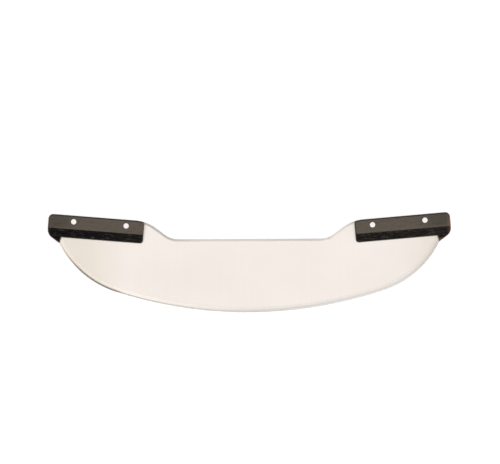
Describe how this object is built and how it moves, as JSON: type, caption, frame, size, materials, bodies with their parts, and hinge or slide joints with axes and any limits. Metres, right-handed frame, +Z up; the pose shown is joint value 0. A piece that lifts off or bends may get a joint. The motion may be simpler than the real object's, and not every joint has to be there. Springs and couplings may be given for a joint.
{
  "type": "rocking pizza knife",
  "caption": "Double-handled rocking knife for pizza: a long curved steel blade with a riveted wooden handle at each end.",
  "frame": {"origin": "on the ground, under the middle of the knife's outline; the knife lies on the flat faces of its two rear handle scales", "axes": "+X along the blade, +Y from the cutting edge towards the handles, +Z up through the blade's thickness, out of its front face"},
  "size_m": [0.508, 0.1252, 0.02],
  "materials": {
    "blade_steel": "satin ground stainless steel, polished along the cutting edge",
    "handle_wood": "black-brown stained hardwood, satin",
    "rivet_metal": "bright, ground flush with the handle"
  },
  "bodies": {
    "root": {"blade": "blade_steel", "left_front_scale": "handle_wood", "left_rear_scale": "handle_wood", "right_front_scale": "handle_wood", "right_rear_scale": "handle_wood", "left_inner_rivet_pin": "rivet_metal", "left_inner_rivet_socket": "rivet_metal", "left_outer_rivet_pin": "rivet_metal", "left_outer_rivet_socket": "rivet_metal", "right_inner_rivet_pin": "rivet_metal", "right_inner_rivet_socket": "rivet_metal", "right_outer_rivet_pin": "rivet_metal", "right_outer_rivet_socket": "rivet_metal"}
  },
  "joints": []
}
